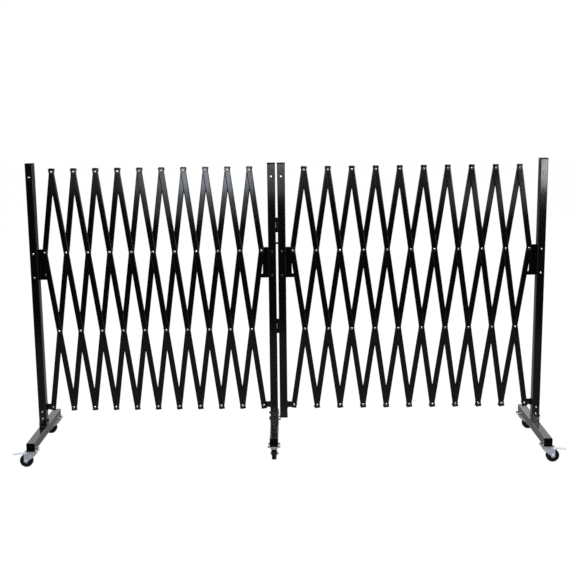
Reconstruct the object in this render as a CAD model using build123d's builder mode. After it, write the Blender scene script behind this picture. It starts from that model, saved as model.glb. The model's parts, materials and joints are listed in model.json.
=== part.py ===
from build123d import *
from math import asin, cos, radians, sin
import os

# Expandable safety barrier: two lattice panels of crossed flat tubes hang between four posts that stand on
# three feet with swivel casters. Millimetres, +Z up, +X to the right, +Y to the rear. The origin is on the
# floor, under the middle of the whole barrier.

# Lattice bars: flat tubes with a hole every hole_pitch, in a front layer and a back layer
hole_pitch = 440.0
pitches = 10
left_angle = 7.7
right_angle = 8.4
closed_angle = 2.2
open_angle = 32.0
bar_width = 30.0
bar_depth = 10.0
bar_wall = 1.2
bar_corner = 4.2
bar_end = 15.0
layer_gap = 1.0

# Plastic plugs in the bar ends
lip_length = 4.0
lip_overhang = 0.7
lip_proud = 0.15
plug_length = 8.0
plug_clearance = 0.1
lip_round = 1.2

# Rivets, pins and their washers
rivet_radius = 4.0
running_gap = 0.05
face_gap = 0.1
rivet_head_radius = 6.0
rivet_head_height = 2.8
rivet_tail_radius = 5.5
rivet_tail_height = 2.0
head_edge = 0.6
washer_radius = 9.0
slide_washer_radius = 11.0
slide_washer = 1.6

# Posts: post_width along X, post_depth along Y
post_width = 42.0
post_depth = 50.0
post_wall = 2.0
post_corner = 4.5
end_post_top = 1589.0
middle_post_top = 1579.0
post_lip = 7.0
post_lip_overhang = 0.8
post_plug = 20.0
post_gap = 11.0
hung_post_bottom = 182.0
pivot_reach = 58.0
left_post_reach = 53.0
lug_height = 239.0
lug_thickness = 5.0
lug_width = 33.0
lug_rise = 3.5
lug_weld = 3.5

# Slotted plates on the posts' rear faces, in which the end pins of the middle row slide
plate_thickness = 4.0
plate_gap = 0.5
plate_inner = 12.0
plate_outer = 12.0
plate_top_edge = 5.0
plate_bottom_edge = 21.0
plate_corner = 4.0
slot_play = 1.0
slide_margin = 1.0

# Bolts and nuts through the posts
bolt_radius = 4.0
bolt_head_radius = 7.0
bolt_head_height = 3.4
bolt_play = 0.2
bolt_tail = 2.0
nut_flats = 13.0
nut_height = 6.5
top_bolt_drop = 67.0
plate_bolt_spacing = 130.0
foot_bolt_low = 47.0
foot_bolt_pitch = 38.0
side_bolt_low = 29.5
side_bolt_pitch = 32.0

# Hinges between the two middle posts, and the bump stop above the slot plates
hinge_height = 80.0
hinge_upper = 1248.0
hinge_lower = 687.0
hinge_axis_setback = 3.5
barrel_radius = 5.0
hinge_pin_radius = 3.0
hinge_pin_head = 2.0
leaf_width = 25.0
leaf_thickness = 2.0
leaf_corner = 3.0
knuckle_gap = 0.6
stop_height = 1153.0
stop_radius = 6.0
stop_round = 2.0
stop_gap = 0.4

# Feet
foot_size = 45.0
foot_wall = 2.0
foot_corner = 4.0
foot_length = 612.0
middle_foot_length = 532.0
foot_cap_lip = 4.0
collar_height = 20.0
collar_wall = 1.5
collar_play = 0.2
spigot_height = 115.0
spigot_wall = 2.0
spigot_play = 0.4

# Casters
caster_inset = 26.0
caster_height = 92.0
mount_plate = 3.0
top_plate = 2.5
plate_length = 64.0
plate_width = 69.0
plate_bolt_x = 57.0
plate_bolt_y = 48.0
plate_round = 6.0
small_bolt_radius = 3.0
small_head_radius = 5.5
small_head_height = 2.4
small_nut_flats = 10.0
small_nut_height = 5.0
race_radius = 23.0
race_height = 5.0
race_gap = 0.3
race_round = 2.5
cup_wall = 2.0
kingpin_radius = 5.0
kingpin_head_radius = 9.0
kingpin_head_height = 2.6
wheel_radius = 35.0
wheel_width = 25.0
tyre_depth = 8.0
tyre_round = 5.0
hub_width = 28.0
hub_boss_radius = 11.0
hub_web = 9.0
hub_rim = 3.0
bush_wall = 1.5
trail = 32.0
axle_radius = 4.0
axle_head_radius = 6.5
axle_head_height = 4.5
fork_sheet = 2.5
fork_gap = 0.5
fork_front = 21.0
fork_rear = 42.0
fork_crown_rear = 26.0
fork_shoulder = 9.0
fork_tip_radius = 11.0
pedal_reach = 103.0
pedal_width = 27.0
pedal_drop = 6.0
pedal_gap = 0.8
pedal_ear = 1.5
pedal_ear_length = 18.0
pedal_ear_height = 9.0
pedal_pin_radius = 2.5
pedal_pin_setback = 36.0
pedal_pin_drop = 6.5

cut_overrun = 5.0

# Derived places along Y: the back layer runs just in front of the slot plates
back_y = post_depth / 2 - plate_gap - bar_depth / 2
front_y = back_y - bar_depth - layer_gap
front_face = front_y - bar_depth / 2
back_face = back_y + bar_depth / 2

# Derived places along X and Z
half_left = hole_pitch * sin(radians(left_angle))
half_right = hole_pitch * sin(radians(right_angle))
left_span = 2 * pitches * half_left + left_post_reach + pivot_reach
right_span = 2 * pitches * half_right + 2 * pivot_reach
middle_pitch = post_width + post_gap
total_span = left_span + middle_pitch + right_span
left_x = -total_span / 2
middle_left_x = left_x + left_span
middle_right_x = middle_left_x + middle_pitch
right_x = total_span / 2
hinge_x = (middle_left_x + middle_right_x) / 2
hinge_y = post_depth / 2 + hinge_axis_setback
foot_top = caster_height + foot_size
slot_top = lug_height + 2 * hole_pitch * cos(radians(closed_angle)) + rivet_radius + slide_margin
slot_bottom = lug_height + 2 * hole_pitch * cos(radians(open_angle)) - rivet_radius - slide_margin
plate_top = slot_top + plate_top_edge
plate_bottom = slot_bottom - plate_bottom_edge
hole_radius = rivet_radius + running_gap


def headed_pin(radius, length, head_radius, head_height, tail_radius=0.0, tail_height=0.0):
    """A round pin along Z with a domed head above z = 0 and, if asked, a flat tail below z = -length."""
    with BuildPart() as pin:
        with BuildSketch(Plane.XZ):
            with BuildLine():
                Line((0, head_height), (0, -length - tail_height))
                if tail_height > 0:
                    Polyline((0, -length - tail_height), (tail_radius - head_edge, -length - tail_height),
                             (tail_radius, -length - tail_height + head_edge), (tail_radius, -length),
                             (radius, -length))
                else:
                    Line((0, -length), (radius, -length))
                Line((radius, -length), (radius, 0))
                Polyline((radius, 0), (head_radius, 0), (head_radius, head_edge))
                dome = head_height - head_edge
                sphere = (head_radius ** 2 + dome ** 2) / (2 * dome)
                half = asin(head_radius / sphere) / 2
                ThreePointArc((head_radius, head_edge),
                              (sphere * sin(half), head_height - sphere * (1 - cos(half))), (0, head_height))
            make_face()
        revolve(axis=Axis.Z)
    return pin.part


def ring(outer, inner, height):
    """A washer on z = 0."""
    with BuildPart() as washer:
        with BuildSketch():
            Circle(outer)
            Circle(inner, mode=Mode.SUBTRACT)
        extrude(amount=height)
    return washer.part


def hex_nut(flats, bore, height):
    """A nut on z = 0, with one pair of flats across Y."""
    with BuildPart() as nut:
        with BuildSketch():
            RegularPolygon(flats / 2, 6, major_radius=False)
            Circle(bore, mode=Mode.SUBTRACT)
        extrude(amount=height)
    return nut.part


def facing_front(x, y, z):
    """Turns a part's +Z towards the front, with its z = 0 at y."""
    return Location((x, y, z), (90, 0, 0))


def facing_rear(x, y, z):
    return Location((x, y, z), (-90, 0, 0))


def tube_plug(size_x, size_y, corner, lip, over_x, over_y, wall, depth, rounding):
    """A plastic plug: the lip lies above z = 0, the stem reaches down into the tube."""
    inner_x = size_x - 2 * (wall + plug_clearance)
    inner_y = size_y - 2 * (wall + plug_clearance)
    inner_corner = corner - wall
    with BuildPart() as plug:
        with BuildSketch():
            RectangleRounded(size_x + 2 * over_x, size_y + 2 * over_y, corner)
        extrude(amount=lip)
        fillet(plug.faces().sort_by(Axis.Z)[-1].edges(), rounding)
        with BuildSketch():
            RectangleRounded(inner_x, inner_y, inner_corner)
        extrude(amount=-depth)
    return plug.part


def lattice_bar(holes):
    """A bar along Z, its lowest hole at the origin, its wide faces square to Y."""
    with BuildPart() as bar:
        with BuildSketch(Plane.XY.offset(-bar_end)):
            RectangleRounded(bar_width, bar_depth, bar_corner)
            RectangleRounded(bar_width - 2 * bar_wall, bar_depth - 2 * bar_wall, bar_corner - bar_wall,
                             mode=Mode.SUBTRACT)
        extrude(amount=(holes - 1) * hole_pitch + 2 * bar_end)
        with Locations(*[(0, 0, k * hole_pitch) for k in range(holes)]):
            Cylinder(hole_radius, 2 * bar_depth, rotation=(90, 0, 0), mode=Mode.SUBTRACT)
    return bar.part


bar_shapes = {holes: lattice_bar(holes) for holes in (2, 3, 4)}
bar_plug = tube_plug(bar_width, bar_depth, bar_corner, lip_length, lip_overhang, lip_proud, bar_wall,
                     plug_length, lip_round)
rivet = headed_pin(rivet_radius, 2 * bar_depth + layer_gap + face_gap, rivet_head_radius, rivet_head_height,
                   rivet_tail_radius, rivet_tail_height)
spacer = ring(washer_radius, hole_radius, layer_gap - 2 * face_gap)
lug_pin_front = headed_pin(rivet_radius, bar_depth + layer_gap + lug_thickness + face_gap, rivet_head_radius,
                           rivet_head_height, rivet_tail_radius, rivet_tail_height)
slide_grip = post_depth / 2 + plate_thickness - front_face
slide_pin = headed_pin(rivet_radius, slide_grip + face_gap + slide_washer + nut_height + bolt_tail,
                       rivet_head_radius, rivet_head_height)
big_washer = ring(slide_washer_radius, hole_radius, slide_washer)
pin_nut = hex_nut(nut_flats, hole_radius, nut_height)


def bar_pieces(holes, base, tilt, y, rivets, own_pins):
    """The bar, its two plugs, and the rivets that it carries. base is its lowest pivot (x, z)."""
    place = Location((base[0], y, base[1]), (0, tilt, 0))
    top = (holes - 1) * hole_pitch + bar_end
    pieces = [bar_shapes[holes].moved(place),
              bar_plug.moved(place * Location((0, 0, top))),
              bar_plug.moved(place * Location((0, 0, -bar_end), (180, 0, 0)))]
    for k in rivets:
        spot = place * Location((0, 0, k * hole_pitch))
        x, z = spot.position.X, spot.position.Z
        pieces.append(rivet.moved(facing_front(x, front_face, z)))
        pieces.append(spacer.moved(facing_rear(x, front_face + bar_depth, z)))
    for k, kind in own_pins:
        spot = place * Location((0, 0, k * hole_pitch))
        x, z = spot.position.X, spot.position.Z
        pieces.extend(end_pin(kind, x, z))
    return pieces


def end_pin(kind, x, z):
    """The pins of the end pivots: in the slot plate, or in the front or the back of a fixed lug."""
    if kind == "slide":
        rear = post_depth / 2 + plate_thickness + face_gap
        return [slide_pin.moved(facing_front(x, front_face, z)),
                spacer.moved(facing_rear(x, front_face + bar_depth, z)),
                big_washer.moved(facing_rear(x, rear, z)),
                pin_nut.moved(facing_rear(x, rear + slide_washer, z))]
    if kind == "lug_behind":
        return [lug_pin_front.moved(facing_front(x, front_face, z)),
                spacer.moved(facing_rear(x, front_face + bar_depth, z))]
    lug_front = back_y - bar_depth / 2 - layer_gap - lug_thickness
    return [lug_pin_front.moved(facing_front(x, lug_front - face_gap, z)),
            spacer.moved(facing_front(x, back_y - bar_depth / 2, z))]


def panel(side, first, angle):
    """One lattice panel. Back bars lean right, front bars lean left; columns count from x = first."""
    half = hole_pitch * sin(radians(angle))
    rise = hole_pitch * cos(radians(angle))

    def pivot(column, row):
        return (first + column * half, lug_height + row * rise)

    for n in range(1, pitches + 2):
        low = 0 if n > 1 else 2
        high = 3 if n < pitches + 1 else 2
        base = pivot(2 * n - 4 + low, low)
        own_pins = [(0, "lug_front")] if n == 2 else []
        pieces = bar_pieces(high - low + 1, base, angle, back_y, [], own_pins)
        write("%s_back_bar_%02d" % (side, n), pieces)
    for n in range(pitches + 1):
        low = 0 if n < pitches else 2
        high = 3 if n > 0 else 2
        base = pivot(2 * n + 2 - low, low)
        own_pins = []
        if n == 0:
            own_pins = [(2, "slide")]
        if n == pitches:
            own_pins = [(0, "slide")]
        if n == pitches - 1:
            own_pins = [(0, "lug_behind")]
        taken = [k for k, kind in own_pins]
        rivets = [k for k in range(high - low + 1) if k not in taken]
        pieces = bar_pieces(high - low + 1, base, -angle, front_y, rivets, own_pins)
        write("%s_front_bar_%02d" % (side, n + 1), pieces)


def write(name, pieces):
    """One node: its pieces stay separate solids."""
    node = Compound(children=pieces)
    node.label = name
    export_step(node, "parts/%s.step" % name)


def post_tube(x, bottom, top, front_bolts, side_bolts):
    with BuildPart() as tube:
        with BuildSketch(Plane((x, 0, bottom))):
            RectangleRounded(post_width, post_depth, post_corner)
            RectangleRounded(post_width - 2 * post_wall, post_depth - 2 * post_wall, post_corner - post_wall,
                             mode=Mode.SUBTRACT)
        extrude(amount=top - bottom)
        with Locations(*[(x, 0, z) for z in front_bolts]):
            Cylinder(bolt_radius + bolt_play, 2 * post_depth, rotation=(90, 0, 0), mode=Mode.SUBTRACT)
        if side_bolts:
            with Locations(*[(x, 0, z) for z in side_bolts]):
                Cylinder(bolt_radius + bolt_play, 2 * post_width, rotation=(0, 90, 0), mode=Mode.SUBTRACT)
    return tube.part


def through_bolt(grip, place):
    """A carriage bolt with its nut; its head sits on the near face of the grip."""
    bolt = headed_pin(bolt_radius, grip + nut_height + bolt_tail, bolt_head_radius, bolt_head_height)
    nut = hex_nut(nut_flats, bolt_radius + running_gap, nut_height)
    return [bolt.moved(place), nut.moved(place * Location((0, 0, -grip), (180, 0, 0)))]


def slot_plate(x, side, reach):
    """The plate on the rear face of a post, with a slot for the sliding pin. side is +1 or -1 along X."""
    width = plate_inner + reach + plate_outer
    middle_x = x + side * (width / 2 - plate_inner)
    slot_x = x + side * reach
    bolt_z = (plate_top + plate_bottom) / 2
    slot_width = 2 * (rivet_radius + slot_play)
    with BuildPart() as plate:
        with BuildSketch(Plane.XZ.offset(-post_depth / 2)):
            with Locations((middle_x, bolt_z)):
                RectangleRounded(width, plate_top - plate_bottom, plate_corner)
            with Locations((slot_x, (slot_top + slot_bottom) / 2)):
                SlotOverall(slot_top - slot_bottom, slot_width, rotation=90, mode=Mode.SUBTRACT)
            with Locations((x, bolt_z + plate_bolt_spacing / 2), (x, bolt_z - plate_bolt_spacing / 2)):
                Circle(bolt_radius + bolt_play, mode=Mode.SUBTRACT)
        extrude(amount=-plate_thickness)
    return plate.part


def lug(x, side, reach, behind):
    """The strap welded to a post's side, which holds the lowest end pivot."""
    if behind:
        near = front_face + bar_depth + layer_gap
    else:
        near = back_y - bar_depth / 2 - layer_gap - lug_thickness
    face_x = x + side * post_width / 2
    pin_x = x + side * reach
    with BuildPart() as strap:
        with BuildSketch(Plane.XZ.offset(-near)):
            with Locations(((face_x + pin_x) / 2, lug_height + lug_rise)):
                Rectangle(reach - post_width / 2, lug_width)
            with Locations((pin_x, lug_height + lug_rise)):
                Circle(lug_width / 2)
            with Locations((pin_x, lug_height)):
                Circle(hole_radius, mode=Mode.SUBTRACT)
        extrude(amount=-lug_thickness)
        with BuildSketch(Plane.XZ.offset(-near + lug_weld)):
            with Locations((face_x + side * lug_weld / 2, lug_height + lug_rise)):
                Rectangle(lug_weld, lug_width + 2 * lug_weld)
        extrude(amount=-lug_thickness - 2 * lug_weld)
    return strap.part


def hinge_leaf(middle, side, own):
    """A hinge leaf on the rear face of a post. own lists the heights at which it carries a knuckle."""
    knuckle_height = (hinge_height - 2 * knuckle_gap) / 3
    near = barrel_radius + knuckle_gap
    far = post_gap / 2 + leaf_width
    with BuildPart() as leaf:
        with BuildSketch(Plane.XZ.offset(-post_depth / 2)):
            with Locations((hinge_x + side * (near + far) / 2, middle)):
                RectangleRounded(far - near, hinge_height, leaf_corner)
        extrude(amount=-leaf_thickness)
        for z in own:
            with BuildSketch(Plane.XY.offset(z)):
                with Locations((hinge_x + side * (near + leaf_width / 2) / 2, (post_depth + leaf_thickness) / 2)):
                    Rectangle(near + leaf_width / 2, leaf_thickness)
                with Locations((hinge_x, hinge_y)):
                    Circle(barrel_radius)
            extrude(amount=knuckle_height)
        with Locations((hinge_x, hinge_y, middle)):
            Cylinder(hinge_pin_radius + running_gap, 2 * hinge_height, mode=Mode.SUBTRACT)
    return leaf.part


def hinge_pieces(middle, is_left):
    """One hinge: the left post carries the outer knuckles and the pin, the right post the middle knuckle."""
    low = middle - hinge_height / 2
    step = (hinge_height + knuckle_gap) / 3
    if not is_left:
        return [hinge_leaf(middle, 1, [low + step])]
    pin = headed_pin(hinge_pin_radius, hinge_height, barrel_radius, hinge_pin_head)
    return [hinge_leaf(middle, -1, [low, low + 2 * step]),
            pin.moved(Location((hinge_x, hinge_y, low + hinge_height)))]


def bump_stop():
    with BuildPart() as stop:
        with BuildSketch(Plane.YZ.offset(middle_right_x - post_width / 2)):
            with Locations((0, stop_height)):
                Circle(stop_radius)
        extrude(amount=-(post_gap - stop_gap))
        fillet(stop.faces().sort_by(Axis.X)[0].edges(), stop_round)
    return stop.part


def foot_pieces(x, length, side_bolts):
    """Foot tube with its plugs, the collar and spigot that hold the post, and two caster mountings."""
    with BuildPart() as tube:
        with BuildSketch(Plane.XZ.offset(-length / 2)):
            with Locations((x, caster_height + foot_size / 2)):
                RectangleRounded(foot_size, foot_size, foot_corner)
                RectangleRounded(foot_size - 2 * foot_wall, foot_size - 2 * foot_wall,
                                 foot_corner - foot_wall, mode=Mode.SUBTRACT)
        extrude(amount=length)
    plug = tube_plug(foot_size, foot_size, foot_corner, foot_cap_lip, 0.0, 0.0, foot_wall, post_plug,
                     lip_round)
    plug_z = caster_height + foot_size / 2
    inner_x = post_width + 2 * collar_play
    inner_y = post_depth + 2 * collar_play
    outer_x = post_width - 2 * post_wall - 2 * spigot_play
    outer_y = post_depth - 2 * post_wall - 2 * spigot_play
    with BuildPart() as collar:
        with BuildSketch(Plane((x, 0, foot_top))):
            RectangleRounded(inner_x + 2 * collar_wall, inner_y + 2 * collar_wall, post_corner + collar_wall)
            RectangleRounded(inner_x, inner_y, post_corner, mode=Mode.SUBTRACT)
        extrude(amount=collar_height)
        chamfer(collar.faces().sort_by(Axis.Z)[-1].outer_wire().edges(), collar_wall / 2)
    front_bolts = foot_bolt_heights()
    with BuildPart() as spigot:
        with BuildSketch(Plane((x, 0, foot_top))):
            RectangleRounded(outer_x, outer_y, post_corner - post_wall)
            Rectangle(outer_x - 2 * spigot_wall, outer_y - 2 * spigot_wall, mode=Mode.SUBTRACT)
        extrude(amount=spigot_height)
        with Locations(*[(x, 0, z) for z in front_bolts]):
            Cylinder(bolt_radius + bolt_play, 2 * post_depth, rotation=(90, 0, 0), mode=Mode.SUBTRACT)
        with Locations(*[(x, 0, z) for z in side_bolts]):
            Cylinder(bolt_radius + bolt_play, 2 * post_width, rotation=(0, 90, 0), mode=Mode.SUBTRACT)
    pieces = [tube.part, collar.part, spigot.part,
              plug.moved(facing_front(x, -length / 2, plug_z)),
              plug.moved(facing_rear(x, length / 2, plug_z))]
    setback = length / 2 - caster_inset
    for y in (-setback, setback):
        pieces.extend(caster_mounting(x, y))
    return pieces


def caster_mounting(x, y):
    """The welded pad under the foot, the caster's top plate bolted to it, its raceway and its kingpin."""
    pad_bottom = caster_height - mount_plate
    plate_bottom_z = pad_bottom - top_plate
    corners = [(x + sx * plate_bolt_x / 2, y + sy * plate_bolt_y / 2) for sx in (-1, 1) for sy in (-1, 1)]
    pieces = []
    for bottom, thick in ((pad_bottom, mount_plate), (plate_bottom_z, top_plate)):
        with BuildPart() as sheet:
            with BuildSketch(Plane.XY.offset(bottom)):
                with Locations((x, y)):
                    RectangleRounded(plate_width, plate_length, plate_round)
                with Locations(*corners):
                    Circle(small_bolt_radius + bolt_play, mode=Mode.SUBTRACT)
            extrude(amount=thick)
        pieces.append(sheet.part)
    with BuildPart() as race:
        with BuildSketch(Plane.XY.offset(plate_bottom_z)):
            with Locations((x, y)):
                Circle(race_radius)
                Circle(kingpin_radius, mode=Mode.SUBTRACT)
        extrude(amount=-race_height)
        fillet(race.edges().filter_by(GeomType.CIRCLE).group_by(Axis.Z)[0].sort_by(SortBy.RADIUS)[-1],
               race_round)
    pieces.append(race.part)
    kingpin_length = race_height + race_gap + race_height + fork_sheet + race_gap
    kingpin = headed_pin(kingpin_radius, kingpin_length, kingpin_head_radius, kingpin_head_height)
    head_z = plate_bottom_z - kingpin_length
    pieces.append(kingpin.moved(Location((x, y, head_z), (180, 0, 0))))
    bolt = headed_pin(small_bolt_radius, mount_plate + top_plate + small_nut_height, small_head_radius,
                      small_head_height)
    nut = hex_nut(small_nut_flats, small_bolt_radius + running_gap, small_nut_height)
    for bx, by in corners:
        pieces.append(bolt.moved(Location((bx, by, plate_bottom_z), (180, 0, 0))))
        pieces.append(nut.moved(Location((bx, by, caster_height), (0, 0, 90))))
    return pieces


def foot_bolt_heights():
    return [foot_top + foot_bolt_low, foot_top + foot_bolt_low + foot_bolt_pitch]


def post_frame(name, x, top, side, behind, reach=pivot_reach, foot=0.0, side_bolts=(), bolt_side=1, extra=()):
    """A post with all that is fixed to it. side points to its lattice, behind says where its lug lies, and
    foot is the length of its foot, or zero for the post that hangs on the hinges."""
    bottom = foot_top if foot else hung_post_bottom
    plate_middle = (plate_top + plate_bottom) / 2
    plate_bolts = [plate_middle + plate_bolt_spacing / 2, plate_middle - plate_bolt_spacing / 2]
    foot_bolts = foot_bolt_heights() if foot else []
    top_bolt = top - top_bolt_drop
    heights = [foot_top + rise for rise in side_bolts]
    cap = tube_plug(post_width, post_depth, post_corner, post_lip, post_lip_overhang, post_lip_overhang,
                    post_wall, post_plug, lip_round)
    pieces = [post_tube(x, bottom, top, plate_bolts + [top_bolt] + foot_bolts, heights),
              cap.moved(Location((x, 0, top))), slot_plate(x, side, reach), lug(x, side, reach, behind)]
    if not foot:
        pieces.append(cap.moved(Location((x, 0, bottom), (180, 0, 0))))
    for z in plate_bolts:
        pieces.extend(through_bolt(post_depth + plate_thickness, facing_front(x, -post_depth / 2, z)))
    for z in [top_bolt] + foot_bolts:
        pieces.extend(through_bolt(post_depth, facing_front(x, -post_depth / 2, z)))
    for z in heights:
        head = Location((x - bolt_side * post_width / 2, 0, z), (0, -bolt_side * 90, 0))
        pieces.extend(through_bolt(post_width, head))
    if foot:
        pieces.extend(foot_pieces(x, foot, heights))
    pieces.extend(extra)
    write(name, pieces)


def fork_pieces():
    """Caster fork at the swivel axis, trailing towards -X, with its axle, pedal and pedal pin."""
    race_bottom = caster_height - mount_plate - top_plate - race_height
    cup_top = race_bottom - race_gap
    crown_top = cup_top - race_height
    crown_bottom = crown_top - fork_sheet
    inner = hub_width / 2 + fork_gap
    with BuildPart() as crown:
        with BuildSketch(Plane.XY.offset(crown_bottom)):
            with Locations(((fork_front - fork_crown_rear) / 2, 0)):
                Rectangle(fork_front + fork_crown_rear, 2 * inner)
            Circle(kingpin_radius + running_gap, mode=Mode.SUBTRACT)
        extrude(amount=fork_sheet)
    with BuildPart() as cup:
        with BuildSketch(Plane.XY.offset(crown_top)):
            Circle(race_radius + cup_wall)
            Circle(kingpin_radius + running_gap, mode=Mode.SUBTRACT)
        extrude(amount=race_height)
        fillet(cup.edges().filter_by(GeomType.CIRCLE).group_by(Axis.Z)[0].sort_by(SortBy.RADIUS)[-1],
               race_round)
    with BuildPart() as leg:
        with BuildSketch(Plane.XZ.offset(-inner)):
            with BuildLine():
                Polyline((-fork_rear, crown_top), (fork_front, crown_top),
                         (fork_front, crown_top - fork_shoulder),
                         (-trail + fork_tip_radius, wheel_radius), (-trail - fork_tip_radius, wheel_radius),
                         (-fork_rear, crown_top - fork_shoulder), close=True)
            make_face()
            with Locations((-trail, wheel_radius)):
                Circle(fork_tip_radius)
                Circle(axle_radius, mode=Mode.SUBTRACT)
            with Locations((-pedal_pin_setback, crown_top - pedal_pin_drop)):
                Circle(pedal_pin_radius, mode=Mode.SUBTRACT)
        extrude(amount=-fork_sheet)
    outer = inner + fork_sheet
    axle = headed_pin(axle_radius, 2 * outer + nut_height + bolt_tail, axle_head_radius, axle_head_height)
    nut = hex_nut(nut_flats, axle_radius + running_gap, nut_height)
    ear_outer = inner - running_gap
    with BuildPart() as pedal:
        with BuildSketch(Plane.XZ.offset(-pedal_width / 2)):
            with BuildLine():
                Polyline((-fork_crown_rear - pedal_gap, crown_top - fork_sheet),
                         (-fork_crown_rear - pedal_gap, crown_top), (-fork_rear, crown_top),
                         (-pedal_reach, crown_top - pedal_drop),
                         (-pedal_reach, crown_top - pedal_drop - fork_sheet),
                         (-fork_rear, crown_top - fork_sheet), close=True)
            make_face()
        extrude(amount=pedal_width)
        with BuildSketch(Plane.XZ.offset(-ear_outer)):
            with Locations((-pedal_pin_setback, crown_top - fork_sheet / 2 - pedal_ear_height / 2)):
                Rectangle(pedal_ear_length, pedal_ear_height)
            with Locations((-pedal_pin_setback, crown_top - pedal_pin_drop)):
                Circle(pedal_pin_radius + running_gap, mode=Mode.SUBTRACT)
        extrude(amount=pedal_ear)
        mirror(about=Plane.XZ)
    pedal_pin = headed_pin(pedal_pin_radius, fork_sheet + running_gap + pedal_ear, 2 * pedal_pin_radius,
                           pedal_ear)
    pin_z = crown_top - pedal_pin_drop
    return [crown.part, cup.part, leg.part, leg.part.mirror(Plane.XZ),
            axle.moved(facing_front(-trail, -outer, wheel_radius)),
            nut.moved(facing_rear(-trail, outer, wheel_radius)), pedal.part,
            pedal_pin.moved(facing_front(-pedal_pin_setback, -outer, pin_z)),
            pedal_pin.moved(facing_rear(-pedal_pin_setback, outer, pin_z))]


def wheel_pieces():
    """Rubber tyre, plastic hub and steel bush, on an axle along Y at the trailing end of the fork."""
    hub_radius = wheel_radius - tyre_depth
    bore = axle_radius + running_gap
    with BuildPart() as tyre:
        with BuildSketch(Plane.XZ.offset(-wheel_width / 2)):
            Circle(wheel_radius)
            Circle(hub_radius, mode=Mode.SUBTRACT)
        extrude(amount=wheel_width)
        rims = tyre.edges().filter_by(GeomType.CIRCLE).sort_by(SortBy.RADIUS)[-2:]
        fillet(rims, tyre_round)
    with BuildPart() as hub:
        with BuildSketch(Plane.XZ.offset(-wheel_width / 2)):
            Circle(hub_radius)
            Circle(hub_radius - hub_rim, mode=Mode.SUBTRACT)
        extrude(amount=wheel_width)
        with BuildSketch(Plane.XZ.offset(-hub_web / 2)):
            Circle(hub_radius)
        extrude(amount=hub_web)
        with BuildSketch(Plane.XZ.offset(-hub_width / 2)):
            Circle(hub_boss_radius)
        extrude(amount=hub_width)
        with BuildSketch(Plane.XZ.offset(-hub_width / 2)):
            Circle(bore + bush_wall)
        extrude(amount=hub_width, mode=Mode.SUBTRACT)
    with BuildPart() as bush:
        with BuildSketch(Plane.XZ.offset(-hub_width / 2)):
            Circle(bore + bush_wall)
            Circle(bore, mode=Mode.SUBTRACT)
        extrude(amount=hub_width)
    lift = Location((-trail, 0, wheel_radius))
    return [tyre.part.moved(lift), hub.part.moved(lift), bush.part.moved(lift)]


os.makedirs("parts", exist_ok=True)

panel("left", left_x + left_post_reach, left_angle)
panel("right", middle_right_x + pivot_reach, right_angle)

hinges = [piece for middle in (hinge_lower, hinge_upper) for piece in hinge_pieces(middle, True)]
leaves = [piece for middle in (hinge_lower, hinge_upper) for piece in hinge_pieces(middle, False)]
post_frame("left_end_post", left_x, end_post_top, 1, False, reach=left_post_reach, foot=foot_length,
           side_bolts=[side_bolt_low])
post_frame("middle_left_post", middle_left_x, middle_post_top, -1, True, foot=middle_foot_length,
           side_bolts=[side_bolt_low, side_bolt_low + side_bolt_pitch], bolt_side=-1, extra=hinges)
post_frame("middle_right_post", middle_right_x, middle_post_top, 1, False, extra=leaves + [bump_stop()])
post_frame("right_end_post", right_x, end_post_top, -1, True, foot=foot_length, side_bolts=[side_bolt_low])

fork_shapes = fork_pieces()
wheel_shapes = wheel_pieces()
feet = (("left", left_x, foot_length, 0, 0), ("middle", middle_left_x, middle_foot_length, -90, 90),
        ("right", right_x, foot_length, 180, 180))
for name, x, length, front_turn, rear_turn in feet:
    setback = length / 2 - caster_inset
    for end, y, turn in (("front", -setback, front_turn), ("rear", setback, rear_turn)):
        place = Location((x, y, 0), (0, 0, turn))
        write("%s_%s_caster_fork" % (name, end), [piece.moved(place) for piece in fork_shapes])
        write("%s_%s_caster_wheel" % (name, end), [piece.moved(place) for piece in wheel_shapes])
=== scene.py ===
# %% [markdown]
# # An expandable safety barrier
# The barrier is two accordion lattices of flat black tubes between upright posts. Every part that
# moves or fits is already modelled at its real size, so this lesson gives those parts their
# finishes: powder coat, zinc plate, moulded plastic and rubber. It then adds the small things that
# a welder, a press and a mould leave behind. The first cell loads the parts.

# %% Load the barrier's parts
import json
import math

import bmesh
import bpy
from mathutils import Matrix, Vector


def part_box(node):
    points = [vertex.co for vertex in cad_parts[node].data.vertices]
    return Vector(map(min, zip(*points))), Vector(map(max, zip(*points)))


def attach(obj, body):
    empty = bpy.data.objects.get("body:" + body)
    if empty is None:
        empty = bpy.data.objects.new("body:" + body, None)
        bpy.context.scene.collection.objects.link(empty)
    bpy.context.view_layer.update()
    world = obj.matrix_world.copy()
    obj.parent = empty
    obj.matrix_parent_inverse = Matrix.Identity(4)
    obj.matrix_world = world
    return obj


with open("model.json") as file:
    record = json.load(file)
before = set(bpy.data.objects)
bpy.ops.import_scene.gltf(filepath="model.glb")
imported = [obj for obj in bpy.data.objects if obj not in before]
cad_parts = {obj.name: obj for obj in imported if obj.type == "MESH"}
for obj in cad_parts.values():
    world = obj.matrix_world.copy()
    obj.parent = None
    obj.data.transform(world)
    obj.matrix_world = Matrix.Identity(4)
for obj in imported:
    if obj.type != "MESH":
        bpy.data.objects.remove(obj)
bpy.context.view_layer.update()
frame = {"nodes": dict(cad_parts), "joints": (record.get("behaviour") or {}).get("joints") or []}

# %% [markdown]
# ## Where the bars are
# The finishes change from place to place on one part: a bar is painted steel, its ends are plastic
# plugs and its rivets are bright. To paint by place, the shaders need the lattice's own measures.
# They are read from the parts' boxes, so they follow the model when it changes: neighbouring bars
# stand two half pitches apart, and the sine of their lean is one half pitch over the distance
# between two rivets.

# %% Measures of the lattice
MM = 0.001
HOLE_PITCH = 440 * MM
SIDES = ("left", "right")


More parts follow.
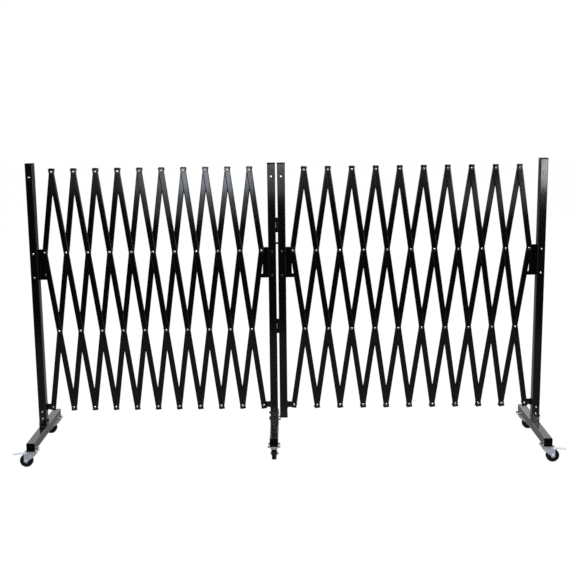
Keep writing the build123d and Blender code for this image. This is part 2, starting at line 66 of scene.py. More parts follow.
def joint(name):
    """The frame's joint of that name."""
    return next(j for j in frame["joints"] if j["name"] == name)


def half_pitch_of(side):
    """Half the spacing of a lattice's bars."""
    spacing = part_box(f"{side}_back_bar_04")[0].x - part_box(f"{side}_back_bar_03")[0].x
    return spacing / 2


HALF_PITCH = {side: half_pitch_of(side) for side in SIDES}
LEAN = {side: math.asin(HALF_PITCH[side] / HOLE_PITCH) for side in SIDES}
PIVOT_Z = joint("left_panel_spread")["pos_m"][2]
PIVOT_X = {side: joint(f"{side}_panel_spread")["pos_m"][0] for side in SIDES}
for side in SIDES:
    print(side, "bars lean", round(math.degrees(LEAN[side]), 2), "degrees")

# %% [markdown]
# ## Shader sums written as Python
# A procedural finish is arithmetic on positions: how far is this point from the nearest rivet, is
# it beyond the bar's end? Wiring such sums by hand takes dozens of nodes. The class below wraps a
# node's output and teaches Python's operators to add the Math nodes, so a mask reads like a
# formula. Colours go through Mix nodes, because a Math node would turn them grey.

# %% A wrapper for node sockets
class Wire:
    """An output socket that can be added to, multiplied, compared and mixed."""

    def __init__(self, tree, socket):
        self.tree = tree
        self.socket = socket

    def math(self, operation, *others):
        return node(self.tree, "Math", {"operation": operation}, dict(enumerate((self, *others))))

    def __add__(self, other):
        return self.math("ADD", other)

    __radd__ = __add__

    def __sub__(self, other):
        return self.math("SUBTRACT", other)

    def __rsub__(self, other):
        return node(self.tree, "Math", {"operation": "SUBTRACT"}, {0: other, 1: self})

    def __mul__(self, other):
        return self.math("MULTIPLY", other)

    __rmul__ = __mul__

    def __truediv__(self, other):
        return self.math("DIVIDE", other)

    def __rtruediv__(self, other):
        return node(self.tree, "Math", {"operation": "DIVIDE"}, {0: other, 1: self})

    def __gt__(self, other):
        return self.math("GREATER_THAN", other)

    def __lt__(self, other):
        return self.math("LESS_THAN", other)

    def __abs__(self):
        return self.math("ABSOLUTE")

    def nearest(self, period):
        """The signed distance to the nearest multiple of a period."""
        return (self + period / 2).math("FLOORED_MODULO", period) - period / 2

    def either(self, other):
        """The union of two masks."""
        return self.math("MAXIMUM", other)

    def fade(self, low, high):
        """0 below low, 1 above high, smooth in between; with low above high it falls instead."""
        settings = {"interpolation_type": "SMOOTHSTEP"}
        return node(self.tree, "MapRange", settings, {"Value": self, "From Min": low, "From Max": high})

    def colour(self, low, high):
        """Mixes two colours, or colour wires, by this value."""
        return node(self.tree, "Mix", {"data_type": "RGBA"}, {0: self, 6: low, 7: high}, out=2)

    def level(self, low, high):
        """Mixes two plain values by this one."""
        return node(self.tree, "Mix", {"data_type": "FLOAT"}, {0: self, 2: low, 3: high})


# %% [markdown]
# ## One function for every node
# All nodes come from one function. It sets a node's own settings first, because some of them change
# what its sockets are, and then gives each socket its value or joins a wire to it. Small helpers on
# top of it name the nodes that every finish starts from: the place on the part, its coordinates,
# noise and bump.

# %% Nodes and the helpers on top of them
def node(tree, kind, settings, sockets, out=0):
    """Adds one node: its settings first, then the values or links of its sockets."""
    made = tree.nodes.new("ShaderNode" + kind)
    for name, value in settings.items():
        setattr(made, name, value)
    for name, value in sockets.items():
        socket = made.inputs[name]
        if isinstance(value, Wire):
            tree.links.new(value.socket, socket)
        else:
            socket.default_value = (*value, 1.0) if socket.type == "RGBA" else value
    return Wire(tree, made.outputs[out]) if made.outputs else None


def place_of(tree):
    """The point that is shaded, on the part at rest."""
    return node(tree, "TexCoord", {}, {}, out="Object")


def xyz(vector):
    """The x, y and z of a vector wire."""
    split = node(vector.tree, "SeparateXYZ", {}, {0: vector}).socket.node
    return [Wire(vector.tree, part) for part in split.outputs]


def noise(position, pattern, stretch=None):
    """Cloudy noise. A pattern is its patches per metre, its finer layers and how strong those are."""
    if stretch:
        position = node(position.tree, "Mapping", {}, {"Vector": position, "Scale": stretch})
    scale, detail, roughness = pattern
    sockets = {"Vector": position, "Scale": scale, "Detail": detail, "Roughness": roughness}
    return node(position.tree, "TexNoise", {}, sockets)


def bump(height, strength, distance):
    """Small relief from a pattern, as a normal."""
    return node(height.tree, "Bump", {}, {"Height": height, "Strength": strength, "Distance": distance})


def new_material(name):
    """An empty material and its node tree."""
    material = bpy.data.materials.new(name)
    material.use_nodes = True
    material.node_tree.nodes.clear()
    return material, material.node_tree


def surface(tree, **sockets):
    """The one Principled shader of a finish, joined to the output."""
    named = {key.replace("_", " ").title().replace("Ior", "IOR"): value for key, value in sockets.items()}
    shader = node(tree, "BsdfPrincipled", {}, named)
    node(tree, "OutputMaterial", {}, {"Surface": shader})


def dress(name, material):
    """Gives a part its finish. Its mesh stays as it is."""
    part = frame["nodes"][name]
    for slot in part.material_slots:
        slot.material = material
    if not part.material_slots:
        part.data.materials.append(material)


# %% [markdown]
# ## Three finishes on one surface
# Powder coat is black, fairly glossy and slightly pebbled, because the powder melts into a skin
# that never levels out. Bright steel is what the rivets, bolts and nuts are made of: zinc plated, a
# little dull, with tiny scratches. Moulded plastic is the plugs and caps, which are more matte than
# the paint. One function lays all three over a part by masks, since each part is one mesh. A
# pattern is three numbers: its patches per metre, its finer layers and their strength. A span says
# between which values a pattern fades in, and a pair of roughnesses is for where it is 0 and 1.

# %% Colours and textures of the coat, the steel and the plastic
COAT = (0.0018, 0.0018, 0.002)
COAT_WORN = (0.006, 0.006, 0.0064)
COAT_ROUGH = (0.07, 0.1)
COAT_RELIEF = (0.06, 0.5 * MM)
CORNER_DULL = 0.26
RUBBED_ROUGH = 0.1
PLASTIC = (0.0016, 0.0016, 0.0017)
PLASTIC_DULL = 0.9
PLASTIC_ROUGH = 0.5
STEEL_LIGHT = (0.78, 0.79, 0.8)
STEEL_DARK = (0.5, 0.51, 0.53)
STEEL_ROUGH = (0.32, 0.2)
DUST = (0.045, 0.044, 0.041)
DUST_COVER = 0.55
DUST_ROUGH = 0.25
SMUDGES = (9.0, 4.0, 0.6)
SMUDGE_SPAN = (0.3, 0.75)
PEBBLES = (420.0, 2.0, 0.45)
SCRATCHES = (60.0, 3.0, 0.7)
SCRATCH_STRETCH = (7.0, 7.0, 0.5)
SCRATCH_SPAN = (0.3, 0.7)
SCRATCH_RELIEF = 0.5
SPECKS = (34.0, 5.0, 0.75)
SPECK_SPAN = (0.47, 0.68)
LEVEL_SPAN = (0.6, 0.95)


def painted(position, steel, plastic, rubbed, corner=0.0, painted_hole_shade=0.0):
    """Powder coat everywhere, bright steel and plastic where their masks say so, and rubbed paint. The
    coat is duller where the corner mask is set. The last mask is painted shade: it puts the coat's
    black into the hollow middle of a rivet."""
    tree = position.tree
    smudge = noise(position, SMUDGES).fade(*SMUDGE_SPAN)
    pebble = noise(position, PEBBLES)
    streaks = noise(position, SCRATCHES, stretch=SCRATCH_STRETCH)
    scratched = streaks.fade(*SCRATCH_SPAN)
    specks = noise(position, SPECKS).fade(*SPECK_SPAN)
    up = xyz(node(tree, "NewGeometry", {}, {}, out="Normal"))[2]
    dust = up.fade(*LEVEL_SPAN) * specks * (1 - steel)

    coat = rubbed.colour(COAT, COAT_WORN)
    coat = plastic.colour(coat, PLASTIC)
    coat = (dust * DUST_COVER).colour(coat, DUST)
    metal = scratched.colour(STEEL_DARK, STEEL_LIGHT)
    # Painted shade: the hollow middle of a rivet takes the coat's black instead of steel.
    base = (steel * (1 - painted_hole_shade)).colour(coat, metal)

    coat_rough = smudge.level(*COAT_ROUGH) + rubbed * RUBBED_ROUGH + corner * CORNER_DULL
    rough = plastic.level(coat_rough, PLASTIC_ROUGH) + dust * DUST_ROUGH
    rough = steel.level(rough, scratched.level(*STEEL_ROUGH))
    height = pebble * (1 - steel) + streaks * steel * SCRATCH_RELIEF
    dull = steel.either(plastic * PLASTIC_DULL)
    surface(tree, base_color=base, roughness=rough, metallic=dull, normal=bump(height, *COAT_RELIEF))


# %% [markdown]
# ## Finding the rivets and plugs on a leaning bar
# All bars of one layer are parallel and evenly spaced, so one formula finds its way on each of
# them. The point's sideways distance from the nearest bar's centre line comes from its x, corrected
# for the lean, and wrapped round every two half pitches. The distance along the bar follows from
# its height. Rivets then sit wherever the distance along is a whole number of hole pitches, and the
# plugs are what lies past the tube. A rivet's head is bare steel. Its middle, where the drawn stem
# broke off and left a hollow, gets painted shade: a small disc in the coat's black.

# %% The finish of a lattice bar
BAR_WIDTH = 30 * MM
BAR_END = 15 * MM
BAR_CORNER = 4.2 * MM
EDGE_RUB = 1.2 * MM
RIVET_FACE = 0.3 * MM
RUB_INNER = 6 * MM
RUB_OUTER = 11 * MM
# Radii of the painted shade in a rivet's hollow middle, which fades in between them.
HOLE_SHADE_INNER = 2.2 * MM
HOLE_SHADE_OUTER = 2.8 * MM
CHIPS = (150.0, 3.0, 0.7)
CHIP_SPAN = (0.55, 0.75)
bar_materials = {}


def bar_material(side, layer, first_hole, last_hole, front, back):
    """The finish of a bar that has its holes from first_hole to last_hole, counted from the bottom row.
    front and back are the y of the tube's faces."""
    key = (side, layer, first_hole, last_hole)
    if key in bar_materials:
        return bar_materials[key]
    material, tree = new_material(f"{side}_{layer}_bar_{first_hole}_{last_hole}")
    position = place_of(tree)
    x, y, z = xyz(position)
    lean = LEAN[side] if layer == "back" else -LEAN[side]
    beside = (x - PIVOT_X[side] - (z - PIVOT_Z) * math.tan(lean)).nearest(2 * HALF_PITCH[side])
    across = beside * math.cos(lean)
    along = (z - PIVOT_Z + across * math.sin(lean)) / math.cos(lean)

    past_bottom = along < first_hole * HOLE_PITCH - BAR_END
    past_top = along > last_hole * HOLE_PITCH + BAR_END
    plug = past_bottom.either(past_top)
    in_front = y < front - RIVET_FACE
    behind = y > back + RIVET_FACE
    steel = in_front.either(behind) * (1 - plug)

    to_rivet = along.nearest(HOLE_PITCH)
    radius = (across * across + to_rivet * to_rivet).math("SQRT")
    # Painted shade: a dark disc in the middle of each rivet on the front face, where its hollow would be.
    painted_hole_shade = radius.fade(HOLE_SHADE_OUTER, HOLE_SHADE_INNER) * in_front
    turned = radius.fade(RUB_OUTER, RUB_INNER)
    edge = abs(across).fade(BAR_WIDTH / 2 - EDGE_RUB, BAR_WIDTH / 2)
    corner = abs(across).fade(BAR_WIDTH / 2 - BAR_CORNER, BAR_WIDTH / 2 - BAR_CORNER / 2)
    chips = noise(position, CHIPS).fade(*CHIP_SPAN)
    painted(position, steel, plug, turned.either(edge * chips), corner, painted_hole_shade)
    bar_materials[key] = material
    return material


# %% [markdown]
# The bars next to the posts are shorter, because a whole bar would stick out past the post. In each
# layer one of them keeps only its lower holes and the other only its upper ones, and the two layers
# do it at opposite ends. Bars with the same holes share one finish.

# %% Paint the lattice bars
BARS = 11
TOP_HOLE = 3
BAR_DEPTH = 10 * MM
LAYER_GAP = 1 * MM


def holes_of(layer, number):
    """The first and last hole of a bar, counted from the bottom row."""
    upper_bar, lower_bar = (1, BARS) if layer == "back" else (BARS, 1)
    first = TOP_HOLE - 1 if number == upper_bar else 0
    last = TOP_HOLE - 1 if number == lower_bar else TOP_HOLE
    return first, last


back_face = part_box("left_back_bar_04")[1].y
back_front = back_face - BAR_DEPTH
front_back = back_front - LAYER_GAP
front_face = front_back - BAR_DEPTH
faces_of = {"back": (back_front, back_face), "front": (front_face, front_back)}
for side in SIDES:
    for number in range(1, BARS + 1):
        for layer, faces in faces_of.items():
            material = bar_material(side, layer, *holes_of(layer, number), *faces)
            dress(f"{side}_{layer}_bar_{number:02d}", material)
print("bar finishes:", len(bar_materials))

# %% [markdown]
# ## Posts and feet
# A post's part holds its tube, caps, slotted plate, bolts and foot. The bolt heads are what stands
# proud of the front face, the nuts what stands proud of the back, and the caster plates are what
# lies under the foot. Each becomes a mask, and the masks' limits are the sizes of the model.

# %% Measures of the posts and feet
FOOT_NODE = {"left": "left_end_post", "middle": "middle_left_post", "right": "right_end_post"}
FOOT_X = {foot: joint(f"{foot}_front_swivel")["pos_m"][0] for foot in FOOT_NODE}
HINGE_X = joint("panel_fold")["pos_m"][0]
POST_X = {
    "left_end_post": FOOT_X["left"],
    "middle_left_post": FOOT_X["middle"],
    "middle_right_post": 2 * HINGE_X - FOOT_X["middle"],
    "right_end_post": FOOT_X["right"],
}
POST_WIDTH = 42 * MM
POST_DEPTH = 50 * MM
POST_LIP = 7 * MM
POST_CORNER = 4.5 * MM
FOOT_SIZE = 45 * MM
FOOT_UNDER = 92 * MM
FOOT_TOP = FOOT_UNDER + FOOT_SIZE
COLLAR_TOP = FOOT_TOP + 21 * MM
NUT_TOP = FOOT_UNDER + 6 * MM
FOOT_TUBE_END = {"left_end_post": 306 * MM, "middle_left_post": 266 * MM, "right_end_post": 306 * MM}
HUNG_BOTTOM = 182 * MM
LEAF = 2.2 * MM
PLATE_BACK = 29 * MM
PLATE_LOW = 955 * MM
PLATE_HIGH = 1132 * MM
print("posts at x:", {name: round(x, 3) for name, x in POST_X.items()})

# %% [markdown]
# On the two middle posts the lower bolts were painted over with the tube, so only the top ones are
# bright. On the end posts the paint crept up the heads and left their crowns bare. Feet get kicked,
# so scuffs in the paint thicken towards the bottom of the foot, and a few follow the posts' edges.

# %% Paint the posts
HAIR = 0.1 * MM
PROUD = 0.4 * MM
BOLT_REACH = 9 * MM
TOP_BOLTS = 1400 * MM
CROWN_FOOT = 1.8 * MM
CROWN_TOP = 2.4 * MM
SCUFFS = (26.0, 6.0, 0.72)
SCUFF_SPAN = (0.6, 0.74)
SCUFF_TOP = FOOT_TOP + 10 * MM
EDGE_SCUFF = 0.6


def post_material(name, x_middle, tube_end):
    """The finish of a post. tube_end is half the length of its foot's tube, or zero when it has no foot."""
    material, tree = new_material(name + "_finish")
    position = place_of(tree)
    x, y, z = xyz(position)
    beside = abs(x - x_middle)
    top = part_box(name)[1].z
    lowest = COLLAR_TOP if tube_end else HUNG_BOTTOM + PROUD
    on_post = (z > lowest) * (z < top - POST_LIP - PROUD)
    heads = (y < -POST_DEPTH / 2 - PROUD) * on_post
    crown = y.fade(-POST_DEPTH / 2 - CROWN_FOOT, -POST_DEPTH / 2 - CROWN_TOP)
    bright = heads * ((z > TOP_BOLTS) if name.startswith("middle") else crown)
    on_plate = (z > PLATE_LOW) * (z < PLATE_HIGH) * (y < PLATE_BACK + PROUD)
    nuts = (y > POST_DEPTH / 2 + LEAF) * (beside < BOLT_REACH) * on_post * (1 - on_plate)
    steel = nuts.either(bright)
    plastic = z > top - POST_LIP
    if tube_end:
        plates = (z < FOOT_UNDER - HAIR).either((beside > FOOT_SIZE / 2 + HAIR) * (z < NUT_TOP))
        steel = steel.either(plates)
        plastic = plastic.either((abs(y) > tube_end) * (z > FOOT_UNDER))
    else:
        plastic = plastic.either(z < HUNG_BOTTOM)

    scuffs = noise(position, SCUFFS).fade(*SCUFF_SPAN)
    low_down = z.fade(SCUFF_TOP, FOOT_UNDER)
    edge = beside.fade(POST_WIDTH / 2 - EDGE_RUB, POST_WIDTH / 2)
    rubbed = (scuffs * low_down).either(edge * scuffs * EDGE_SCUFF)
    across = beside.fade(POST_WIDTH / 2 - POST_CORNER, POST_WIDTH / 2 - POST_CORNER / 2)
    corner = across * abs(y).fade(POST_DEPTH / 2 - POST_CORNER, POST_DEPTH / 2 - POST_CORNER / 2)
    corner = corner * on_post * (beside < POST_WIDTH / 2 + PROUD)
    painted(position, steel, plastic, rubbed, corner)
    return material


for name, x_middle in POST_X.items():
    dress(name, post_material(name, x_middle, FOOT_TUBE_END.get(name, 0)))
print("posts painted:", len(POST_X))

# %% [markdown]
# ## Zinc-plated casters
# The forks and pedals are pressed from sheet steel and bright zinc plated, with the bluish cast
# that thin passivation leaves. The plating follows the rolled sheet, so it has long fine streaks
# and a faint cloudy mottle. A low metal roughness with a noise that shifts both colour and
# roughness gives that. Grime gathers on the lower part, close to the floor.

# %% Zinc plate
CASTERS = [(foot, end) for foot in FOOT_NODE for end in ("front", "rear")]
ZINC_BLUE = (0.6, 0.66, 0.76)
ZINC_PALE = (0.8, 0.83, 0.87)
ZINC_ROUGH = (0.34, 0.24)
ZINC_RELIEF = (0.08, 0.4 * MM)
CLOUDS = (70.0, 4.0, 0.6)
CLOUD_SPAN = (0.35, 0.7)
ROLLING = (260.0, 3.0, 0.6)
ROLLING_STRETCH = (1.0, 1.0, 0.12)
ROLLING_ROUGH = 0.08
GRIME = (0.12, 0.11, 0.1)
GRIME_PATCHES = (40.0, 5.0, 0.7)
GRIME_SPAN = (0.55, 0.8)
GRIME_FROM, GRIME_TO = 70 * MM, 30 * MM
GRIME_COVER = 0.5
GRIME_ROUGH = 0.2


def zinc_material():
    """Bright plating on rolled sheet, for the forks and pedals."""
    material, tree = new_material("zinc_plate")
    position = place_of(tree)
    z = xyz(position)[2]
    cloud = noise(position, CLOUDS).fade(*CLOUD_SPAN)
    grain = noise(position, ROLLING, stretch=ROLLING_STRETCH)
    grime = noise(position, GRIME_PATCHES).fade(*GRIME_SPAN) * z.fade(GRIME_FROM, GRIME_TO)
    base = cloud.colour(ZINC_BLUE, ZINC_PALE)
    base = (grime * GRIME_COVER).colour(base, GRIME)
    rough = cloud.level(*ZINC_ROUGH) + grain * ROLLING_ROUGH + grime * GRIME_ROUGH
    surface(tree, base_color=base, roughness=rough, metallic=1.0, normal=bump(grain, *ZINC_RELIEF))
    return material


zinc = zinc_material()
for foot, end in CASTERS:
    dress(f"{foot}_{end}_caster_fork", zinc)
print("forks plated:", len(CASTERS))

# %% [markdown]
# ## Wheels
# A wheel is a rubber tyre on a plastic hub with a steel bush. Seen from the side they are rings
# round the axle, so one distance from the axle tells them apart. Rubber that rolls on a floor goes
# grey and matte on its tread and keeps a soft sheen on its sides.

# %% Rubber, hub and bush
RUBBER = (0.004, 0.0045, 0.0062)
RUBBER_DUSTY = (0.01, 0.0098, 0.0098)
RUBBER_ROUGH = (0.38, 0.72)
RUBBER_SHINE = 0.16
RUBBER_GRAIN = (900.0, 2.0, 0.5)
RUBBER_RELIEF = (0.12, 0.3 * MM)
FLOOR_DUST = (90.0, 5.0, 0.7)
FLOOR_DUST_SPAN = (0.35, 0.7)
HUB = (0.008, 0.0085, 0.0095)
HUB_ROUGH = 0.3
WHEEL_RADIUS = 35 * MM
TREAD_FROM, TREAD_TO = WHEEL_RADIUS - 2.5 * MM, WHEEL_RADIUS - 0.5 * MM
TYRE_INSIDE = 27 * MM
BUSH_RADIUS = 5.55 * MM


def wheel_material(name, spin):
    """Tyre, hub and bush as rings round the axle of the joint that the wheel spins on."""
    material, tree = new_material(name + "_finish")
    position = place_of(tree)
    x, y, z = xyz(position)
    turns_round_x = abs(spin["axis"][0]) > abs(spin["axis"][1])
    level = (y - spin["pos_m"][1]) if turns_round_x else (x - spin["pos_m"][0])
    height = z - spin["pos_m"][2]
    radius = (level * level + height * height).math("SQRT")
    bush = radius < BUSH_RADIUS
    hub = (radius < TYRE_INSIDE) * (1 - bush)
    dusty = radius.fade(TREAD_FROM, TREAD_TO) * noise(position, FLOOR_DUST).fade(*FLOOR_DUST_SPAN)
    base = dusty.colour(RUBBER, RUBBER_DUSTY)
    base = hub.colour(base, HUB)
    base = bush.colour(base, STEEL_LIGHT)
    rough = hub.level(dusty.level(*RUBBER_ROUGH), HUB_ROUGH)
    grain = noise(position, RUBBER_GRAIN)
    surface(tree, base_color=base, roughness=rough, metallic=bush, specular_ior_level=RUBBER_SHINE,
            normal=bump(grain, *RUBBER_RELIEF))
    return material


for foot, end in CASTERS:
    wheel = f"{foot}_{end}_caster_wheel"
    dress(wheel, wheel_material(wheel, joint(f"{foot}_{end}_wheel_spin")))
print("wheels finished:", len(CASTERS))

# %% [markdown]
# ## Weld beads
# The collars are welded on, and a weld is never a clean corner. A welder moves in small steps, and
# each puddle freezes as a crescent over the last one. The bead here is a strip of rings along a
# line, where every ring's radius rises and falls once per puddle and shrinks at both ends.

# %% A rippled bead along a straight line
BEAD_RADIUS = 2.4 * MM
BEAD_SIDES = 10
PUDDLE = 3.2 * MM
RINGS_PER_PUDDLE = 5
RIPPLE = 0.22
END_SIZE = 0.35


def mesh_object(name, mesh):
    """A smooth object in the scene from a bmesh, which is used up."""
    data = bpy.data.meshes.new(name)
    mesh.to_mesh(data)
    mesh.free()
    data.shade_smooth()
    made = bpy.data.objects.new(name, data)
    bpy.context.scene.collection.objects.link(made)
    return made


def weld_bead(name, start, end, out):
    """A bead from start to end, half sunk in the corner that faces out."""
    start, end, out = Vector(start), Vector(end), Vector(out).normalized()
    run = end - start
    side = run.normalized().cross(out)
    count = max(2, round(run.length / PUDDLE)) * RINGS_PER_PUDDLE
    mesh = bmesh.new()
    rings = []
    for k in range(count + 1):
        share = k / count
        ripple = 1 - RIPPLE * ((k % RINGS_PER_PUDDLE) / RINGS_PER_PUDDLE) ** 2
        ends = min(1.0, END_SIZE + min(share, 1 - share) * run.length / PUDDLE)
        size = BEAD_RADIUS * ripple * ends
        centre = start + run * share
        ring = []
        for s in range(BEAD_SIDES):
            angle = math.tau * s / BEAD_SIDES
            ring.append(mesh.verts.new(centre + size * (math.cos(angle) * out + math.sin(angle) * side)))
        rings.append(ring)
    for near, far in zip(rings, rings[1:]):
        for s in range(BEAD_SIDES):
            t = (s + 1) % BEAD_SIDES
            mesh.faces.new((near[s], near[t], far[t], far[s]))
    mesh.faces.new(rings[0])
    mesh.faces.new(rings[-1])
    bmesh.ops.recalc_face_normals(mesh, faces=mesh.faces)
    return mesh_object(name, mesh)


# %% [markdown]
# Each foot gets one bead in front of its collar and one behind. The paint went over them, so they
# take the powder coat, a little worn. The two beads of a foot are joined into one piece that moves
# with its post.

# %% Weld the collars to the feet
COLLAR_HALF = (22.7 * MM, 26.7 * MM)
BEAD_OFFSET = 0.6 * MM
BEAD_MARGIN = 3 * MM
WELD_WEAR = (300.0, 3.0, 0.6)
WELD_WEAR_SPAN = (0.5, 0.7)


def join(name, parts, material, body):
    """One piece from several meshes, on a body, with its finish."""
    joined = bmesh.new()
    for part in parts:
        joined.from_mesh(part.data)
        bpy.data.objects.remove(part)
    made = mesh_object(name, joined)
    made.data.materials.append(material)
    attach(made, body)
    return made


def weld_material():
    """Powder coat over a weld: its masks for steel and plastic are a coordinate times zero."""
    material, tree = new_material("painted_weld")
    position = place_of(tree)
    nothing = xyz(position)[0] * 0.0
    painted(position, nothing, nothing, noise(position, WELD_WEAR).fade(*WELD_WEAR_SPAN))
    return material


weld = weld_material()
for foot, name in FOOT_NODE.items():
    x_foot = FOOT_X[foot]
    beads = []
    for way in (-1, 1):
        y_bead = way * (COLLAR_HALF[1] + BEAD_OFFSET)
        begin = (x_foot - COLLAR_HALF[0] + BEAD_MARGIN, y_bead, FOOT_TOP + BEAD_OFFSET)
        finish = (x_foot + COLLAR_HALF[0] - BEAD_MARGIN, y_bead, FOOT_TOP + BEAD_OFFSET)
        beads.append(weld_bead(f"{name}_bead_{way}", begin, finish, (0, way, 1)))
    join(f"{foot}_foot_weld", beads, weld, name)
print("weld beads on the feet:", len(FOOT_NODE) * 2)

# %% [markdown]
# ## Hub ribs
# The moulded hub is hollow on both sides and stiffened by ribs, which show between the fork's legs.
# They are thin tapered blades round the boss, made once per side of the wheel and turned into
# place.

# %% Ribs in the wheel hubs
RIBS = 8
RIB_THICKNESS = 1.8 * MM
RIB_INNER = 10.5 * MM
RIB_OUTER = 24.1 * MM
RIB_LOW = 4 * MM
RIB_HIGH = 11 * MM
RIB_TAPER = 2 * MM
RIB_OUTLINE = ((RIB_INNER, RIB_LOW), (RIB_OUTER, RIB_LOW), (RIB_OUTER, RIB_HIGH - RIB_TAPER),
               (RIB_INNER, RIB_HIGH))


def hub_ribs(name, centre, axis):
    """Ribs on both sides of a hub: each is a blade from the boss to the rim, lower at the rim."""
    centre, axis = Vector(centre), Vector(axis).normalized()
    up = Vector((0, 0, 1))
    forward = axis.cross(up)
    mesh = bmesh.new()
    for way in (-1, 1):
        for k in range(RIBS):
            angle = math.tau * k / RIBS
            spoke = up * math.cos(angle) + forward * math.sin(angle)
            thick = axis.cross(spoke) * RIB_THICKNESS / 2
            faces = []
            for edge in (-1, 1):
                corners = [centre + spoke * r + axis * way * h + thick * edge for r, h in RIB_OUTLINE]
                faces.append([mesh.verts.new(corner) for corner in corners])
            near, far = faces
            mesh.faces.new(near)
            mesh.faces.new(list(reversed(far)))
            for s in range(len(RIB_OUTLINE)):
                t = (s + 1) % len(RIB_OUTLINE)
                mesh.faces.new((near[t], near[s], far[s], far[t]))
    bmesh.ops.recalc_face_normals(mesh, faces=mesh.faces)
    made = mesh_object(name, mesh)
    made.data.shade_flat()
    return made


for foot, end in CASTERS:
    spin = joint(f"{foot}_{end}_wheel_spin")
    ribs = hub_ribs(f"{foot}_{end}_hub_ribs", spin["pos_m"], spin["axis"])
    ribs.data.materials.append(frame["nodes"][f"{foot}_{end}_caster_wheel"].material_slots[0].material)
    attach(ribs, f"{foot}_{end}_caster_wheel")
print("hub ribs:", len(CASTERS) * 2 * RIBS)

# %% [markdown]
# ## Floor
# The picture is a studio shot on white. The floor is nearly all white light to the camera, and the
# small share of paper left in it is what shows the barrier's shadow. To every other ray it is plain
# paper: bright under the barrier, where it lights the feet from below, and dark far in front, where
# the glossy bars would mirror it.

# %% Pale floor
PAPER = (0.4, 0.4, 0.4)
FAR_PAPER = (0.3, 0.3, 0.3)
FAR_FROM, FAR_TO = 0.8, 3.0
DIM_PAPER = (0.15, 0.15, 0.15)
DIM_FROM, DIM_TO = -0.45, -0.9
STUDIO_DARK = (0.02, 0.02, 0.02)
DARK_FROM, DARK_TO = -2.2, -3.6
SEEN_PAPER = (0.8, 0.8, 0.8)
WHITE = (1.0, 1.0, 1.0)
FLOOR_WHITE = 1.05
WHITE_SHARE = 0.92
FLOOR_HALF = 30.0
FLOOR_DROP = 0.5 * MM


def floor_material():
    """White to the camera but for the shadow. To other rays it is paper that gets dim in front."""
    material, tree = new_material("studio_floor")
    y = xyz(place_of(tree))[1]
    camera_ray = node(tree, "LightPath", {}, {}, out="Is Camera Ray")
    back = y.fade(FAR_FROM, FAR_TO).colour(PAPER, FAR_PAPER)
    near = y.fade(DIM_FROM, DIM_TO).colour(back, DIM_PAPER)
    ground = y.fade(DARK_FROM, DARK_TO).colour(near, STUDIO_DARK)
    paper = node(tree, "BsdfDiffuse", {}, {"Color": camera_ray.colour(ground, SEEN_PAPER)})
    white = node(tree, "Emission", {}, {"Color": WHITE, "Strength": FLOOR_WHITE})
    shown = node(tree, "MixShader", {}, {0: camera_ray * WHITE_SHARE, 1: paper, 2: white})
    node(tree, "OutputMaterial", {}, {"Surface": shown})
    return material


def make_floor():
    """One big square just under the wheels."""
    mesh = bmesh.new()
    corners = [(-1, -1), (1, -1), (1, 1), (-1, 1)]
    mesh.faces.new([mesh.verts.new((x * FLOOR_HALF, y * FLOOR_HALF, -FLOOR_DROP)) for x, y in corners])
    floor = mesh_object("studio_floor", mesh)
    floor.data.materials.append(floor_material())


make_floor()
print("floor:", 2 * FLOOR_HALF, "m square")

# %% [markdown]
# ## Surroundings
# The world is white to the camera. Shiny surfaces mirror white behind the barrier and overhead and
# a dark studio in front, which keeps the black bars black. Everything else gets a plain grey fill.

# %% White surroundings
BEHIND_SPAN = (-0.35, 0.25)
OVERHEAD_SPAN = (0.2, 0.8)
OVERHEAD_WHITE = 0.8
MIRRORED = (0.05, 1.0)
FILL = 0.45
SEEN_WHITE = 1.0


def light_world(tree):
    """White to the camera, white or dark by direction to shiny surfaces, and a grey fill for the rest."""
    camera_ray = node(tree, "LightPath", {}, {}, out="Is Camera Ray")
    glossy_ray = node(tree, "LightPath", {}, {}, out="Is Glossy Ray")
    y, z = xyz(node(tree, "TexCoord", {}, {}, out="Generated"))[1:]
    behind = y.fade(*BEHIND_SPAN)
    overhead = z.fade(*OVERHEAD_SPAN)
    mirrored = behind.either(overhead * OVERHEAD_WHITE).level(*MIRRORED)
    strength = camera_ray.level(glossy_ray.level(FILL, mirrored), SEEN_WHITE)
    light = node(tree, "Background", {}, {"Color": WHITE, "Strength": strength})
    node(tree, "OutputWorld", {}, {"Surface": light})


world = bpy.data.worlds.new("studio")
bpy.context.scene.world = world
world.use_nodes = True
world.node_tree.nodes.clear()
light_world(world.node_tree)
print("world nodes:", len(world.node_tree.nodes))

# %% [markdown]
# ## Soft boxes
# The light that falls on the barrier comes from soft boxes at a plain level. The flat fronts of
# bars and posts are mirrors for what stands beside the camera, so each box in front makes a grey
# sheen of its own outline, and its lower edge ends the sheen some way down. The bright box on the
# far right serves the right end post and the two in the middle serve the posts there. The others
# grade the sheen from bar to bar, and the low, dim ones let it fade out downwards. A bright strip
# above draws thin highlights on rounded edges, and the boxes on top, left and behind do the rest.

# %% Lamps
COOL = (0.87, 0.93, 1.0)
# Name, middle of the box, width and height, brightness of its face, and colour. All face the barrier.
FRONT_BOXES = (
    ("front_right_box", (3.55, -5.6, 1.935), (1.7, 1.89), 12.0, (0.91, 0.94, 1.0)),
    ("front_left_box", (-0.845, -5.6, 1.49), (0.93, 1.05), 6.8, (0.84, 0.91, 1.0)),
    ("middle_high_box", (-0.1, -5.6, 1.635), (0.3, 0.77), 4.6, WHITE),
    ("middle_low_box", (-0.1, -5.6, 1.09), (0.3, 0.32), 1.4, WHITE),
    ("front_low_box", (-1.0, -5.6, 0.83), (1.2, 0.27), 1.0, COOL),
    ("front_fill_box", (-1.53, -5.6, 1.49), (0.44, 1.05), 2.2, COOL),
    ("front_far_box", (-2.15, -5.6, 1.49), (0.8, 1.05), 0.45, WHITE),
    ("front_edge_box", (2.22, -5.6, 0.885), (0.95, 0.33), 0.8, WHITE),
    ("front_dim_box", (0.9, -5.65, 1.55), (1.9, 1.3), 0.25, WHITE),
)
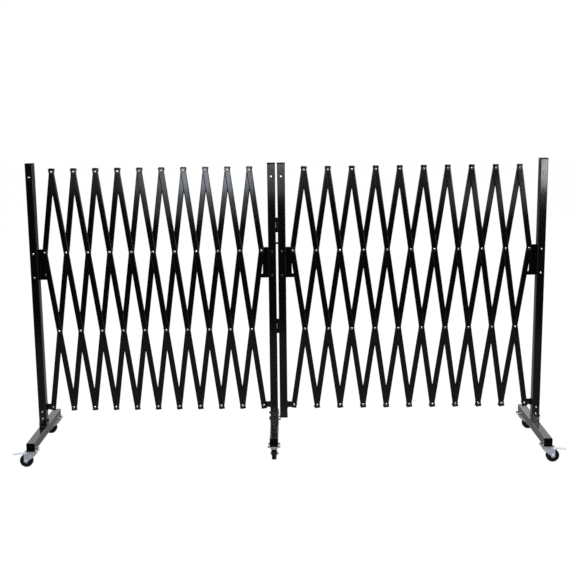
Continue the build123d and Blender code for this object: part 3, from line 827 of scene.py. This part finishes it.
# Name, middle of the box, the point it faces, width and height, and brightness of its face.
OTHER_BOXES = (
    ("strip_box", (0, -3.2, 3.4), (0, 0, 1.0), (3.2, 0.16), 40.0),
    ("top_box", (0, -0.5, 4.5), (0, 0, 0.8), (4.0, 3.0), 2.0),
    ("left_box", (-4.5, -1.5, 2.2), (0, 0, 0.8), (2.0, 2.5), 1.6),
    ("rear_box", (0.5, 4.5, 2.6), (0, 0, 0.9), (4.0, 2.0), 1.6),
)


def soft_box(name, place, aim, size, radiance, colour=WHITE):
    """A rectangular lamp that faces a point. Its power follows from how bright its face is."""
    width, height = size
    data = bpy.data.lights.new(name, "AREA")
    data.shape = "RECTANGLE"
    data.size = width
    data.size_y = height
    data.energy = radiance * math.pi * width * height
    data.color = colour
    lamp = bpy.data.objects.new(name, data)
    lamp.location = place
    lamp.rotation_euler = (Vector(aim) - Vector(place)).to_track_quat("-Z", "Y").to_euler()
    lamp.visible_camera = False
    bpy.context.scene.collection.objects.link(lamp)


for name, place, size, radiance, colour in FRONT_BOXES:
    soft_box(name, place, (place[0], 0, place[2]), size, radiance, colour)
for box in OTHER_BOXES:
    soft_box(*box)
print("soft boxes:", len(FRONT_BOXES) + len(OTHER_BOXES))

# %% [markdown]
# ## Camera
# The camera was fitted to the picture: it stands a little over five metres away, a bit above the
# tops of the posts, and looks down by about ten degrees. Its turn, tilt and roll are three plain
# rotations.

# %% Camera
CAMERA_PLACE = (0.0169, -5.3851, 1.892)
CAMERA_DOWN = math.radians(10.3921)
CAMERA_ROLL = math.radians(-0.6324)
CAMERA_YAW = math.radians(0.1619)
SENSOR = 36.0
FOCAL_PIXELS = 1002.4465
PICTURE_PIXELS = 576

camera_data = bpy.data.cameras.new("camera")
camera_data.sensor_width = SENSOR
camera_data.lens = SENSOR * FOCAL_PIXELS / PICTURE_PIXELS
camera = bpy.data.objects.new("camera", camera_data)
turn = Matrix.Rotation(CAMERA_YAW, 4, "Z") @ Matrix.Rotation(math.pi / 2 - CAMERA_DOWN, 4, "X")
camera.matrix_world = Matrix.Translation(CAMERA_PLACE) @ turn @ Matrix.Rotation(CAMERA_ROLL, 4, "Z")
bpy.context.scene.collection.objects.link(camera)
bpy.context.scene.camera = camera
bpy.context.scene.view_settings.view_transform = "Standard"
print("lens:", round(camera_data.lens, 2), "mm")
